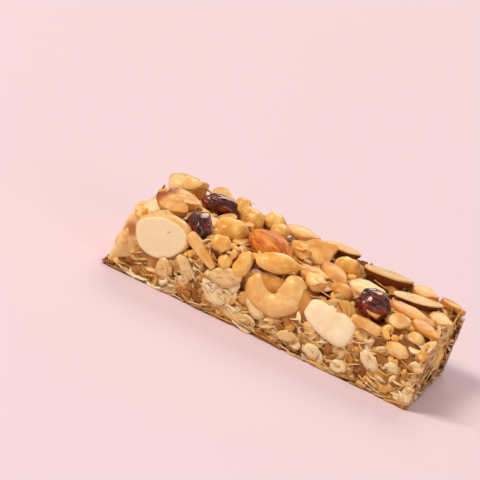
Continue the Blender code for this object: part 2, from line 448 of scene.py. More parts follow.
@dataclass(frozen=True)
class OatFlake(Finish):
    """Rolled oat: a matt cream flake, glazed by the syrup in places."""

    toasted: str = "#C98F50"

    def paint(self, tree: bpy.types.NodeTree, shader: bpy.types.Node) -> None:
        """Each flake has its own tint and fine bran streaks."""
        tint = add_node(tree, "ShaderNodeAttribute", {"attribute_name": "tint"})
        colour = self.ramp(
            tree, tint.outputs["Fac"], [(0.0, self.dark), (0.4, self.toasted), (1.0, self.light)]
        )
        bran = self.noise(tree, 0.9, along=0.25, fineness=0.6)
        streaks = self.span(tree, bran, 0.5, 0.72, 0.55)
        colour = self.mix(tree, streaks, colour, self.dark)
        tree.links.new(colour, shader.inputs["Base Color"])
        self.bump(tree, shader, bran, 0.25)


# Where the smooth end browned, in millimetres.
TOASTED_SPOT = (-45.0, -20.5, 13.0)


@dataclass(frozen=True)
class SetSyrup(Finish):
    """Set syrup: amber and glossy, cloudy where it is thick outside, with painted shade in the crevices."""

    # Dark brown painted as shade where the syrup lies deep in the crevices.
    crevice_shade: str = "#6E2E0C"
    cloud: str = "#F6D294"
    scorch: str = "#B05A1C"

    def paint(self, tree: bpy.types.NodeTree, shader: bpy.types.Node) -> None:
        """Amber patches, painted darker with depth as shade in the crevices, and cloudier at the smooth end
        of the bar.
        """
        lumps = self.noise(tree, 5.0, detail=4.0, fineness=0.6)
        colour = self.ramp(tree, lumps, [(0.38, self.dark), (0.62, self.light)])
        thick = add_node(tree, "ShaderNodeAttribute", {"attribute_name": "cloud"})
        colour = self.mix(tree, thick.outputs["Fac"], colour, self.cloud)
        own = add_node(tree, "ShaderNodeAttribute", {"attribute_name": "grain"})
        spot = add_node(
            tree,
            "ShaderNodeVectorMath",
            {"operation": "DISTANCE", 1: TOASTED_SPOT},
            {0: own.outputs["Vector"]},
        )
        toasted = self.span(tree, spot.outputs["Value"], 3.6, 1.0, 0.85)
        colour = self.mix(tree, toasted, colour, self.scorch)
        # Painted shade: the deeper a point lies inside the bar's outline, the more of the dark shade colour
        # it takes.
        depth = add_node(tree, "ShaderNodeAttribute", {"attribute_name": "depth"})
        shade_share = self.span(tree, depth.outputs["Fac"], 0.9, 2.6)
        colour = self.mix(tree, shade_share, colour, self.crevice_shade)
        tree.links.new(colour, shader.inputs["Base Color"])
        self.bump(tree, shader, lumps, 0.8)


class PlainFloor(Finish):
    """Painted board: matt and evenly pale."""

    def paint(self, tree: bpy.types.NodeTree, shader: bpy.types.Node) -> None:
        """One even colour, because the floor is a plain backdrop."""
        shader.inputs["Base Color"].default_value = linear(self.light)


PALE_NUT = NutFlesh("Macadamia_and_cashew_flesh", "#F5D08A", "#E3A656", 0.42, 0.35)
BLANCHED_NUT = NutFlesh("Blanched_nut_flesh", "#FBCE7C", "#E2A044", 0.42, 0.4)
BRAZIL_NUT = NutFlesh("Brazil_nut_cut", "#FCF0CE", "#F5DCAE", 0.42, 0.3)
PALE_SLICE = SlicedNut("Sliced_almond_pale", "#F7D8A4", "#E2A55C", 0.45, 0.25)
GOLD_SLICE = SlicedNut("Sliced_almond_golden", "#F1C17C", "#D69244", 0.45, 0.3)
AMBER_SLICE = SlicedNut("Sliced_almond_toasted", "#E6A754", "#C1772A", 0.45, 0.3)
SKIN_SLICE = SkinEdgedNut("Halved_almond_with_skin", "#F5CF98", "#E6B26C", 0.45, 0.3)
CUT_NUT = CutNut("Macadamia_cut_flat", "#F4D094", "#E3A962", 0.4, 0.3, 0.2, face="#F9E4BA")
TIPPED_NUT = TippedNut("Almond_wedge_toasted", "#EFBC7A", "#CE8A38", 0.45, 0.25, 0.25)
ALMOND_SKIN = AlmondSkin("Almond_skin", "#F49A3A", "#C05A16", 0.46, 0.3, 0.25, 0.08)
CRANBERRY = CranberrySkin("Dried_cranberry_skin", "#8C1610", "#1E0405", 0.25, 1.0, 0.07, 0.12)
OATS = OatFlake("Rolled_oats", "#FFEDC2", "#8E4E16", 0.5, 0.45, 0.2, 0.12, toasted="#E6AC58")
SYRUP = SetSyrup("Set_syrup", "#E0A04C", "#C07C34", 0.38, 0.35, 0.2, 0.1)
FLOOR = PlainFloor("Painted_board", "#E9D6E4", "#E9D6E4", 0.9, 0.0, 0.5, 0.0)


# ---------------------------------------------------------------------------------------------
# Modelling
# ---------------------------------------------------------------------------------------------


class Clay:
    """A mesh while it is modelled: a primitive, and then steps in edit mode and modifiers."""

    def __init__(self, obj: bpy.types.Object) -> None:
        """Take an object to model on."""
        self.obj = obj

    @classmethod
    def fresh(cls, name: str) -> Clay:
        """Take the primitive that was just added, and name it."""
        clay = cls(bpy.context.object)
        clay.obj.name = name
        clay.obj.data.name = name
        return clay

    @classmethod
    def ball(cls, name: str, segments: int, rings: int, poles: str = "X") -> Clay:
        """A ball of radius 1 with its poles on the X or the Z axis."""
        turn = (0.0, math.pi / 2, 0.0) if poles == "X" else (0.0, 0.0, 0.0)
        bpy.ops.object.select_all(action="DESELECT")
        bpy.ops.mesh.primitive_uv_sphere_add(segments=segments, ring_count=rings, radius=1.0, rotation=turn)
        bpy.ops.object.transform_apply(location=False, rotation=True, scale=False)
        return cls.fresh(name)

    @classmethod
    def geodesic(cls, name: str, subdivisions: int) -> Clay:
        """A ball of even triangles, of radius 1."""
        bpy.ops.object.select_all(action="DESELECT")
        bpy.ops.mesh.primitive_ico_sphere_add(subdivisions=subdivisions, radius=1.0)
        return cls.fresh(name)

    @classmethod
    def block(cls, name: str) -> Clay:
        """A cube from -1 to 1."""
        bpy.ops.object.select_all(action="DESELECT")
        bpy.ops.mesh.primitive_cube_add(size=2.0)
        return cls.fresh(name)

    @classmethod
    def disc(cls, name: str, sides: int) -> Clay:
        """A flat disc of radius 1."""
        bpy.ops.object.select_all(action="DESELECT")
        bpy.ops.mesh.primitive_circle_add(vertices=sides, radius=1.0, fill_type="NGON")
        return cls.fresh(name)

    def edit(self, where: Callable[[Vector], bool], *steps: Callable[[], object]) -> Clay:
        """Select the vertices at some place and run edit-mode operators on them.

        Args:
            where: says of a vertex's place whether it is selected.
            steps: operators, called in turn.

        Returns:
            This piece, so that steps can follow on.
        """
        mesh = self.obj.data
        for items in (mesh.edges, mesh.polygons):
            items.foreach_set("select", [False] * len(items))
        mesh.vertices.foreach_set("select", [bool(where(v.co)) for v in mesh.vertices])
        only(self.obj)
        bpy.context.tool_settings.mesh_select_mode = (True, False, False)
        bpy.ops.object.mode_set(mode="EDIT")
        for step in steps:
            step()
        bpy.ops.object.mode_set(mode="OBJECT")
        return self

    def squeeze(
        self,
        where: Callable[[Vector], bool],
        by: tuple[float, float, float],
        about: tuple[float, float, float] = (0.0, 0.0, 0.0),
        reach: float = 0.0,
    ) -> Clay:
        """Scale the selected vertices about a point, and within reach the others after them."""
        soft = {"use_proportional_edit": reach > 0, "proportional_size": max(reach, 0.001)}
        return self.edit(where, lambda: bpy.ops.transform.resize(value=by, center_override=about, **soft))

    def push(
        self, where: Callable[[Vector], bool], by: tuple[float, float, float], reach: float = 0.0
    ) -> Clay:
        """Move the selected vertices, and within reach the others after them."""
        soft = {"use_proportional_edit": reach > 0, "proportional_size": max(reach, 0.001)}
        return self.edit(where, lambda: bpy.ops.transform.translate(value=by, **soft))

    def modify(self, kind: str, **settings: object) -> Clay:
        """Add a modifier and apply it."""
        modifier = self.obj.modifiers.new(kind.title(), kind)
        for key, value in settings.items():
            setattr(modifier, key, value)
        only(self.obj)
        bpy.ops.object.modifier_apply(modifier=modifier.name)
        return self

    def relax(self) -> Clay:
        """Even out the creases that squeezing left."""
        return self.modify("SMOOTH", factor=0.5, iterations=3)

    def smooth(self) -> Clay:
        """Round a mesh of four-sided faces off with subdivision."""
        return self.modify("SUBSURF", levels=1, render_levels=1)

    def relief(self, kind: str, size: float, depth: float, detail: int = 2) -> Clay:
        """Displace the surface by a texture.

        Args:
            kind: the texture's type, such as CLOUDS.
            size: the size of its patches.
            depth: the height from its lowest to its highest point.
            detail: how many finer layers CLOUDS adds.

        Returns:
            This piece.
        """
        texture = bpy.data.textures.new(f"{self.obj.name}_{kind.lower()}", kind)
        texture.noise_scale = size
        if kind == "CLOUDS":
            texture.noise_depth = detail
            texture.cloud_type = "COLOR"
        self.modify(
            "DISPLACE",
            texture=texture,
            texture_coords="LOCAL",
            direction="RGB_TO_XYZ",
            strength=depth,
            mid_level=0.5,
        )
        bpy.data.textures.remove(texture)
        return self

    def mark_unit(self) -> Clay:
        """Keep each vertex's place in the shape's own box, from -1 to 1, as the attribute unit."""
        rows = corners(self.obj.data)
        low, high = rows.min(0), rows.max(0)
        store(self.obj, "unit", "FLOAT_VECTOR", (rows - (low + high) / 2) / ((high - low) / 2))
        return self

    def put_away(self) -> bpy.types.Mesh:
        """Drop the object and keep its mesh, which only copies are made from."""
        mesh = self.obj.data
        mesh.use_fake_user = True
        bpy.data.objects.remove(self.obj)
        return mesh


class Shape(Enum):
    """The kinds of nut and berry that the bar holds."""

    ALMOND = "almond"
    HALF = "half"
    SLICE = "slice"
    SLAB = "slab"
    PEANUT = "peanut"
    CHUNK = "chunk"
    CASHEW = "cashew"
    BERRY = "berry"
    CUT = "cut"


# Half the size of every master, so that its longest and its thinnest axis are never in doubt.
MASTER_HALF = np.array([1.0, 0.7, 0.46])
# The turns of a piece by none and by half a turn about each of its own axes.
WAYS_ROUND = ((1, 1, 1), (1, -1, -1), (-1, 1, -1), (-1, -1, 1))


class NutBench:
    """Makes the master of each kind of nut and berry, once."""

    def __init__(self) -> None:
        """Start with no masters."""
        self.masters: dict[Shape, bpy.types.Mesh] = {}

    def master(self, shape: Shape) -> bpy.types.Mesh:
        """The master mesh of a shape."""
        if shape not in self.masters:
            clay: Clay = getattr(self, shape.value)()
            rows = corners(clay.obj.data)
            clay.squeeze(lambda p: True, tuple(MASTER_HALF / (np.ptp(rows, axis=0) / 2)))
            self.masters[shape] = clay.mark_unit().put_away()
        return self.masters[shape]

    def almond(self) -> Clay:
        """An almond: blunt at one end and drawn to a point at the other."""
        clay = Clay.ball("almond_master", 48, 28)
        clay.squeeze(lambda p: p.x > 0.9, (1.25, 0.30, 0.30), (0.8, 0, 0), reach=1.1)
        clay.squeeze(lambda p: p.x < -0.95, (0.9, 1.1, 1.1), (-0.9, 0, 0), reach=0.6)
        return clay.relax()

    def half(self) -> Clay:
        """Half a nut: a dome with a flat cut face."""
        clay = Clay.ball("half_master", 56, 32)
        clay.squeeze(lambda p: p.z > 0.12, (1, 1, 0.0), (0, 0, 0.12))
        clay.squeeze(lambda p: p.x > 0.85, (1, 0.72, 1), (0.9, 0, 0), reach=0.9)
        return clay.relax()

    def cut(self) -> Clay:
        """A round nut that lost a cap: a flat face inside a rounded shoulder."""
        clay = Clay.ball("cut_master", 64, 48, poles="Z")
        clay.squeeze(lambda p: p.z > 0.50, (1, 1, 0.0), (0, 0, 0.50))
        clay.push(lambda p: p.x < -0.9 and abs(p.y) < 0.3, (-0.1, 0, 0), reach=0.7)
        clay.push(lambda p: p.x > 0.6 and p.y < -0.5, (0.1, -0.1, 0), reach=0.6)
        return clay.relax()

    def slice(self) -> Clay:
        """A thin slice: flat faces, a rounded rim and one narrower end, cupped a little."""
        clay = Clay.ball("slice_master", 52, 28, poles="Z")
        clay.squeeze(lambda p: p.z > 0.24, (1, 1, 0.0), (0, 0, 0.24))
        clay.squeeze(lambda p: p.z < -0.24, (1, 1, 0.0), (0, 0, -0.24))
        clay.squeeze(lambda p: p.x > 0.8, (1.1, 0.45, 1), (0.9, 0, 0), reach=1.0)
        clay.push(lambda p: math.hypot(p.x, p.y) < 0.15, (0, 0, -0.12), reach=1.1)
        return clay.relax()

    def slab(self) -> Clay:
        """A blocky cut with soft corners."""
        clay = Clay.block("slab_master")
        clay.edit(
            lambda p: True,
            lambda: bpy.ops.mesh.bevel(offset=0.5, segments=3, affect="EDGES"),
            lambda: bpy.ops.mesh.subdivide(number_cuts=1),
        )
        clay.squeeze(lambda p: p.x > 0.9, (1, 0.72, 0.9), (1, -0.1, 0), reach=1.0)
        return clay.smooth()

    def peanut(self) -> Clay:
        """A skinned peanut: an egg with a faint waist."""
        clay = Clay.ball("peanut_master", 44, 28)
        clay.squeeze(lambda p: abs(p.x) < 0.1, (1, 0.88, 0.88), reach=0.5)
        clay.squeeze(lambda p: p.x > 0.9, (1, 0.8, 0.8), (0.9, 0, 0), reach=0.8)
        return clay.relax()

    def chunk(self) -> Clay:
        """A broken piece: blunt lumps with a few flats."""
        clay = Clay.geodesic("chunk_master", 4)
        return clay.relief("CLOUDS", 0.9, 0.6, 0).relief("VORONOI", 1.1, -0.12)

    def cashew(self) -> Clay:
        """A cashew: a rod with a thick head and a thin tail, bent into a C."""
        clay = Clay.ball("cashew_master", 20, 16)
        clay.push(lambda p: p.x > 0.02, (1.95, 0, 0)).push(lambda p: p.x < -0.02, (-1.95, 0, 0))
        clay.modify("REMESH", mode="VOXEL", voxel_size=0.16, adaptivity=0.0)
        clay.modify("SIMPLE_DEFORM", deform_method="TAPER", deform_axis="X", factor=0.3)
        clay.modify("SIMPLE_DEFORM", deform_method="BEND", deform_axis="Z", angle=math.radians(300))
        return clay.smooth()

    def berry(self) -> Clay:
        """A dried cranberry, sunk into folds along its length."""
        clay = Clay.ball("berry_master", 60, 40)
        clay.squeeze(lambda p: True, (0.45, 1, 1))
        clay.relief("CLOUDS", 0.55, 0.2, 1).relief("VORONOI", 0.4, 0.05)
        return clay.squeeze(lambda p: True, (1 / 0.45, 1, 1))


@dataclass(frozen=True)
class Seat:
    """How a solid lies: its middle, its own axes from its longest on, and half its size along each."""

    middle: np.ndarray
    axes: np.ndarray
    half: np.ndarray

    @classmethod
    def of(cls, mesh: bpy.types.Mesh) -> Seat:
        """Read the seat of a closed mesh from how its surface is spread.

        Each axis points to the side where the surface trails off further, so that a shape and
        its plainer stand-in get the same axes. The axis that says least about that is turned,
        if it has to be, to make the three right-handed.

        Args:
            mesh: the mesh, in metres or in units.

        Returns:
            The seat.
        """
        rows = corners(mesh)
        middles = np.array([p.center for p in mesh.polygons])
        areas = np.array([p.area for p in mesh.polygons])[:, None]
        mean = (middles * areas).sum(0) / areas.sum()
        spread = middles - mean
        axes = np.linalg.eigh((spread * areas).T @ spread)[1][:, ::-1]
        along = spread @ axes
        trail = (along**3 * areas).sum(0) / ((along**2 * areas).sum(0) ** 1.5 / areas.sum() ** 0.5)
        axes = axes * np.where(trail < 0, -1.0, 1.0)
        if np.linalg.det(axes) < 0:
            axes[:, np.argmin(np.abs(trail))] *= -1
        placed = rows @ axes
        low, high = placed.min(0), placed.max(0)
        return cls(axes @ ((low + high) / 2), axes, (high - low) / 2)

    def matrix(self) -> Matrix:
        """What takes a box from -1 to 1 to this seat."""
        turn = Matrix((self.axes * self.half).tolist()).to_4x4()
        return Matrix.Translation(Vector(self.middle)) @ turn


@dataclass
class Nut:
    """One nut or berry that stands for its CAD node."""

    node: str
    shape: Shape
    finish: Finish
    slot: str
    lump: float = 1.0
    stretch: tuple[float, float, float] = (1.0, 1.0, 1.0)
    turn: tuple[float, float, float] = (0.0, 0.0, 0.0)

    def build(self, bench: NutBench, solid: bpy.types.Object, rng: random.Random) -> bpy.types.Object:
        """Copy the master to the node's seat, roughen it, and dress it.

        Args:
            bench: where the masters are.
            solid: the CAD node.
            rng: the source of chance.

        Returns:
            The piece.
        """
        mesh = bench.master(self.shape).copy()
        own, there = Seat.of(mesh), Seat.of(solid.data)
        piece = bpy.data.objects.new(f"{self.node}_nut", mesh)
        bpy.context.scene.collection.objects.link(piece)
        into = own.matrix().inverted()
        within = np.array([into @ v.co for v in mesh.vertices])
        store(piece, "grain", "FLOAT_VECTOR", within * (there.half / MM) + rng.uniform(0, 90))
        skin = tree_of([solid])
        sample = [into @ v.co for v in list(mesh.vertices)[::9]]
        ways = [Matrix.Diagonal((*signs, 1.0)) for signs in WAYS_ROUND]
        apart = [
            sum(skin.find_nearest(there.matrix() @ way @ point)[3] for point in sample) for way in ways
        ]
        way = ways[apart.index(min(apart))] @ Matrix.Diagonal((*self.stretch, 1.0))
        middle = Matrix.Translation(Vector(there.middle))
        turn = middle @ Euler([math.radians(a) for a in self.turn]).to_matrix().to_4x4() @ middle.inverted()
        mesh.transform(turn @ there.matrix() @ way @ into)
        stray = Vector([rng.uniform(-0.5, 0.5) for _ in range(3)])
        mesh.transform(Matrix.Translation(stray))
        clay = Clay(piece)
        if self.lump:
            clay.relief("CLOUDS", 3.2 * MM, 0.55 * self.lump * MM, 2)
        mesh.transform(Matrix.Translation(-stray))
        rows = corners(mesh)
        rows[:, 2] = rows[:, 2].clip(0.02 * MM)
        mesh.vertices.foreach_set("co", rows.ravel())
        mesh.update()
        mesh.shade_smooth()
        mesh.materials.clear()
        mesh.materials.append(self.finish.material())
        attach(piece, ROOT)
        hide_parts(self.node)
        return piece


def nuts_of_the_bar() -> list[Nut]:
    """Every nut and berry, by its CAD node."""
    almond, half, slice_, slab = Shape.ALMOND, Shape.HALF, Shape.SLICE, Shape.SLAB
    peanut, chunk, cashew, berry = Shape.PEANUT, Shape.CHUNK, Shape.CASHEW, Shape.BERRY
    rows = [
        ("cranberry", berry, CRANBERRY, ["ridge", "edge", "front", "far"], 0.5),
        ("almond", almond, ALMOND_SKIN, ["whole", "far"], 0.5),
        ("almond", almond, BLANCHED_NUT, ["blanched"], 0.7),
        ("almond", almond, AMBER_SLICE, ["toasted_front"], 0.7),
        ("almond", half, TIPPED_NUT, ["toasted_left", "toasted_mid"], 1.3),
        ("cashew", cashew, PALE_NUT, ["side", "far"], 0.6),
        ("macadamia", Shape.CUT, CUT_NUT, ["side", "far"], 0.4),
        ("brazil", slab, BRAZIL_NUT, ["cut_side"], 0.6),
        (
            "peanut",
            peanut,
            BLANCHED_NUT,
            ["rear", "far_left", "far_right", "front", "edge_left", "edge_right", "middle"],
            1.7,
        ),
        ("peanut", peanut, BLANCHED_NUT, ["far_end", "centre", "left_end", "right_end"], 1.2),
        ("peanut", peanut, PALE_NUT, ["side_right"], 0.8),
        ("hazelnut", peanut, PALE_NUT, ["corner"], 0.8),
        ("nut", chunk, PALE_NUT, ["chunk_front", "chunk_left_far", "chunk_left_near"], 1.2),
        ("nut", chunk, BLANCHED_NUT, ["chunk_left_mid", "wedge_centre"], 1.2),
        ("almond", half, SKIN_SLICE, ["half_skin_far", "half_skin_right", "half_skin_edge"], 0.5),
        ("almond_slice", slice_, AMBER_SLICE, ["amber", "long_a", "long_b", "far_right"], 0.6),
        ("almond_slice", slice_, GOLD_SLICE, ["far", "broad", "middle", "end", "far_mid"], 0.6),
        ("almond_slice", slice_, PALE_SLICE, ["pale", "corner", "left_far"], 0.6),
        ("almond_sliver", slab, PALE_NUT, ["left", "right"], 0.5),
    ]
    slots = {
        CRANBERRY.name: "cranberry",
        ALMOND_SKIN.name: "almond_skin",
        SKIN_SLICE.name: "almond_skin",
        BLANCHED_NUT.name: "blanched_nut",
        GOLD_SLICE.name: "blanched_nut",
        PALE_NUT.name: "pale_nut",
        PALE_SLICE.name: "pale_nut",
        CUT_NUT.name: "pale_nut",
        BRAZIL_NUT.name: "pale_nut",
        TIPPED_NUT.name: "toasted_nut",
        AMBER_SLICE.name: "toasted_nut",
    }
    fits = {
        "macadamia_side": {"stretch": (1.17, 1.1, 1.0), "turn": (11.0, -20.0, 0.0)},
        "cashew_side": {"stretch": (1.08, 1.26, 1.05)},
    }
    return [
        Nut(f"{stem}_{end}", shape, finish, slots[finish.name], lump, **fits.get(f"{stem}_{end}", {}))
        for stem, shape, finish, ends, lump in rows
        for end in ends
    ]


# ---------------------------------------------------------------------------------------------
# The syrup core
# ---------------------------------------------------------------------------------------------


@dataclass
class SyrupCore:
    """What binds the bar: one mass under the flakes that climbs a little way up every nut."""

    voxel: float = 0.7 * MM
    swell: float = -1.0 * MM
    sink: float = 0.6 * MM
    lump: float = 0.5 * MM
    smoothing: int = 10
    fused_end: float = -41.5 * MM

    def build(self, solids: dict[str, bpy.types.Object]) -> bpy.types.Object:
        """Melt copies of all the solids together and let the result sink below their surfaces.

        Args:
            solids: the CAD nodes by name.

        Returns:
            The core.
        """
        bpy.ops.object.select_all(action="DESELECT")
        copies = []
        for name, solid in solids.items():
            copy = bpy.data.objects.new(f"{name}_melt", solid.data.copy())
            bpy.context.scene.collection.objects.link(copy)
            clay = Clay(copy)
            clay.modify("WELD", merge_threshold=0.01 * MM)
            if name != BLOCK:
                fused = corners(copy.data)[:, 0].mean() < self.fused_end
                clay.modify("DISPLACE", strength=0.2 * MM if fused else self.swell, mid_level=0.0)
            copies.append(copy)
        for copy in copies:
            copy.select_set(True)
        bpy.context.view_layer.objects.active = copies[0]
        bpy.ops.object.join()
        core = bpy.context.object
        core.name = core.data.name = "syrup_core"
        clay = Clay(core)
        clay.modify("REMESH", mode="VOXEL", voxel_size=self.voxel, adaptivity=0.0)
        clay.modify("SMOOTH", factor=0.6, iterations=self.smoothing)
        self.weigh(core)
        clay.modify("DISPLACE", strength=-self.sink, mid_level=0.0, vertex_group="sunk")
        clay.relief("CLOUDS", 3.0 * MM, self.lump, 2)
        core.vertex_groups.clear()
        self.mark(core)
        core.data.materials.clear()
        core.data.materials.append(SYRUP.material())
        core.data.shade_smooth()
        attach(core, ROOT)
        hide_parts(BLOCK)
        return core

    @staticmethod
    def cloudy(rows: np.ndarray) -> np.ndarray:
        """How far each point belongs to the smooth cloudy end of the bar, from 0 to 1."""
        along = rows[:, 0] / MM + 0.12 * (rows[:, 2] / MM - 10)
        return np.clip((-38.0 - along) / 5.0, 0.0, 1.0)

    def weigh(self, core: bpy.types.Object) -> None:
        """Give each vertex the share of the sink that it takes: less at the smooth end."""
        shares = np.round((1.0 - 0.9 * self.cloudy(corners(core.data))) * 10) / 10
        group = core.vertex_groups.new(name="sunk")
        for share in np.unique(shares):
            group.add(np.flatnonzero(shares == share).tolist(), float(share), "REPLACE")

    def mark(self, core: bpy.types.Object) -> None:
        """Keep what the material reads: millimetres, the depth under the skin, which the syrup paints as
        shade, and the cloudiness.
        """
        rows = corners(core.data) / MM
        x, y, z = rows.T
        walls = np.stack((49.7 - np.abs(x), 21.6 - np.abs(y), 21.4 - z, z))
        store(core, "grain", "FLOAT_VECTOR", rows)
        cloud = self.cloudy(rows * MM)
        # The depth drives the painted shade of the syrup's crevices, and none at the cloudy end.
        store(core, "depth", "FLOAT", walls.min(0) * (1.0 - cloud))
        store(core, "cloud", "FLOAT", cloud * 0.9)


# ---------------------------------------------------------------------------------------------
# Small pieces
# ---------------------------------------------------------------------------------------------


@dataclass
class Mould:
    """The box that the bar was pressed in, in metres."""

    low: Vector
    high: Vector

    def press(self, rows: np.ndarray) -> np.ndarray:
        """Flatten what stands out of the mould against its walls and floor."""
        low = np.array([self.low.x, self.low.y, self.low.z])
        high = np.array([self.high.x, self.high.y, 1.0])
        return np.clip(rows, low, high)


class Swarm:
    """Many copies of a few small shapes, joined into one mesh as they are laid."""

    def __init__(self, name: str, masters: Sequence[bpy.types.Mesh], mould: Mould) -> None:
        """Read the masters' vertices, faces and own coordinates."""
        self.name = name
        self.mould = mould
        self.shapes = []
        for mesh in masters:
            unit = np.empty(len(mesh.vertices) * 3)
            mesh.attributes["unit"].data.foreach_get("vector", unit)
            faces = [list(p.vertices) for p in mesh.polygons]
            self.shapes.append((corners(mesh), unit.reshape(-1, 3), faces))
        self.rows: list[np.ndarray] = []
        self.unit: list[np.ndarray] = []
        self.grain: list[np.ndarray] = []
        self.tint: list[np.ndarray] = []
        self.faces: list[list[int]] = []
        self.total = 0
        self.count = 0

    def placed(self, kind: int, matrix: Matrix) -> np.ndarray:
        """The vertices of one shape under a matrix."""
        rows = self.shapes[kind][0]
        turn = np.array(matrix.to_3x3())
        return rows @ turn.T + np.array(matrix.translation)

    def lay(self, kind: int, rows: np.ndarray, size: Vector, tint: float, stray: float) -> None:
        """Add one copy.

        Args:
            kind: which shape.
            rows: its vertices, in place.
            size: its half sizes, in metres.
            tint: its place between the finish's colours, from 0 to 1.
            stray: an offset that gives the copy a pattern of its own.
        """
        self.rows.append(self.mould.press(rows))
        unit = self.shapes[kind][1]
        self.unit.append(unit)
        self.grain.append(unit * (np.array(size) / MM) + stray)
        self.tint.append(np.full(len(rows), tint))
        self.faces.extend([[i + self.total for i in face] for face in self.shapes[kind][2]])
        self.total += len(rows)
        self.count += 1

    def tree(self) -> BVHTree | None:
        """The swarm so far, for rays."""
        if not self.rows:
            return None
        return BVHTree.FromPolygons(np.concatenate(self.rows).tolist(), self.faces)

    def finish(self, finish: Finish, slot: str) -> bpy.types.Object:
        """Make the mesh and dress it.

        Args:
            finish: what it is made of.
            slot: the record's material slot; not used.

        Returns:
            The piece.
        """
        mesh = bpy.data.meshes.new(self.name)
        mesh.from_pydata(np.concatenate(self.rows).tolist(), [], self.faces)
        piece = bpy.data.objects.new(self.name, mesh)
        bpy.context.scene.collection.objects.link(piece)
        store(piece, "unit", "FLOAT_VECTOR", np.concatenate(self.unit))
        store(piece, "grain", "FLOAT_VECTOR", np.concatenate(self.grain))
        store(piece, "tint", "FLOAT", np.concatenate(self.tint))
        mesh.shade_smooth()
        mesh.materials.append(finish.material())
        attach(piece, ROOT)
        LOG.info("%s: %d copies, %d faces", self.name, self.count, len(mesh.polygons))
        return piece


class SmallBench:
    """Makes the masters of the flakes, crisps and crumbs. Each has only a few dozen faces."""

    @staticmethod
    def flakes(count: int) -> list[bpy.types.Mesh]:
        """Rolled oat flakes: thin ovals with a crease, each cupped and nibbled in its own way."""
        made = []
        for number in range(count):
            clay = Clay.disc(f"flake_master_{number}", 10)
            clay.edit(
                lambda p: True,
                lambda: bpy.ops.mesh.inset(thickness=0.42),
                lambda: bpy.ops.mesh.poke(),
            )
            clay.edit(
                lambda p: math.hypot(p.x, p.y) > 0.8,
                lambda seed=number: bpy.ops.transform.vertex_random(offset=0.16, seed=seed),
            )
            clay.push(lambda p: math.hypot(p.x, p.y) < 0.1, (0, 0, -0.2))
            clay.modify("SOLIDIFY", thickness=0.55, offset=0.0)
            clay.squeeze(lambda p: math.hypot(p.x, p.y) > 0.75, (1, 1, 0.7))
            made.append(clay.mark_unit().put_away())
        return made

    @staticmethod
    def chopped(count: int) -> list[bpy.types.Mesh]:
        """Chopped nuts: small rounded lumps, each with a few flats."""
        made = []
        for number in range(count):
            clay = Clay.geodesic(f"chopped_master_{number}", 3)
            turn = Euler((number * 1.3, number * 0.7, number * 2.1)).to_matrix()
            for axis in turn:
                clay.squeeze(lambda p, a=axis: p.dot(a) > 0.72, (0.8, 0.8, 0.8), reach=0.5)
            clay.relief("CLOUDS", 0.9 + 0.1 * number, 0.5, 0)
            made.append(clay.mark_unit().put_away())
        return made

    @staticmethod
    def slivers(count: int) -> list[bpy.types.Mesh]:
        """Broken almond slices: thin plates with a straight broken side."""
        made = []
        for number in range(count):
            clay = Clay.disc(f"chip_master_{number}", 14)
            cut = -0.15 - 0.2 * number
            clay.edit(lambda p: True, lambda: bpy.ops.mesh.inset(thickness=0.12))
            clay.squeeze(lambda p, cut=cut: p.x < cut, (0.12, 1, 1), (cut, 0, 0))
            clay.squeeze(lambda p: p.x > 0.8, (1, 0.5, 1), (1, 0, 0), reach=0.8)
            clay.edit(
                lambda p: True,
                lambda seed=number: bpy.ops.transform.vertex_random(offset=0.05, seed=seed + 40),
            )
            clay.modify("SOLIDIFY", thickness=0.5, offset=0.0)
            clay.squeeze(lambda p: math.hypot(p.x, p.y) > 0.93, (0.98, 0.98, 0.6))
            made.append(clay.mark_unit().put_away())
        return made


@dataclass
class Wall:
    """One outside face of the bar: its outward normal, a direction along it and its size."""

    outward: Vector
    along: Vector
    plane: float
    half_length: float
    low: float
    high: float

    def smooth_end(self, place: Vector, height: float, rng: random.Random) -> bool:
        """Whether a place on the wall belongs to the bar's smooth end, which holds few flakes.

        Args:
            place: the place, at any height.
            height: its height.
            rng: the source of chance.

        Returns:
            True where no flake goes.
        """
        if self.outward.x < 0:
            return height > rng.uniform(14, 18) * MM or place.y < 0.6 * height - rng.uniform(13, 18) * MM
        edge = (-41.0 if self.outward.y < 0 else -46.0) * MM - (height - 10 * MM) * 0.25
        low = rng.uniform(0, 4) * MM if place.x > -46.5 * MM else 0.0
        return place.x < edge + rng.uniform(-2, 2) * MM and height > low


@dataclass
class Surroundings:
    """What small pieces have to respect: the nuts, the core and the mould."""

    nuts: BVHTree
    core: BVHTree
    mould: Mould

    def hides_nut(self, rows: np.ndarray, inward: Vector, near: float) -> float:
        """How much of a piece lies outside a nut and in front of it.

        Args:
            rows: the piece's vertices.
            inward: the direction into the bar.
            near: how far behind the piece a nut's surface still counts, in metres.

        Returns:
            A share from 0 to 1.
        """
        hits = 0
        for row in rows:
            place, normal, _, _ = self.nuts.ray_cast(Vector(row), inward, near)
            hits += place is not None and normal.dot(inward) < 0
        return hits / len(rows)


# The large flakes of the near side: x, z, length and width in millimetres, and the turn in degrees.
SHOWN_FLAKES = (
    (-1.9, 7.8, 7.4, 3.8, -32.0),
    (18.0, 3.6, 5.2, 4.6, 10.0),
    (27.0, 2.9, 5.0, 4.6, 0.0),
    (-13.3, 12.6, 10.0, 6.0, 18.0),
    (-25.6, 9.8, 8.2, 4.2, -42.0),
    (-31.4, 6.6, 7.2, 5.0, -65.0),
    (-15.0, 6.4, 8.8, 5.2, -25.0),
    (-5.2, 3.2, 7.0, 3.6, -2.0),
    (47.2, 2.4, 5.2, 3.2, 10.0),
    (34.6, 8.6, 7.0, 4.6, -35.0),
    (9.6, 4.4, 6.4, 3.8, 12.0),
)


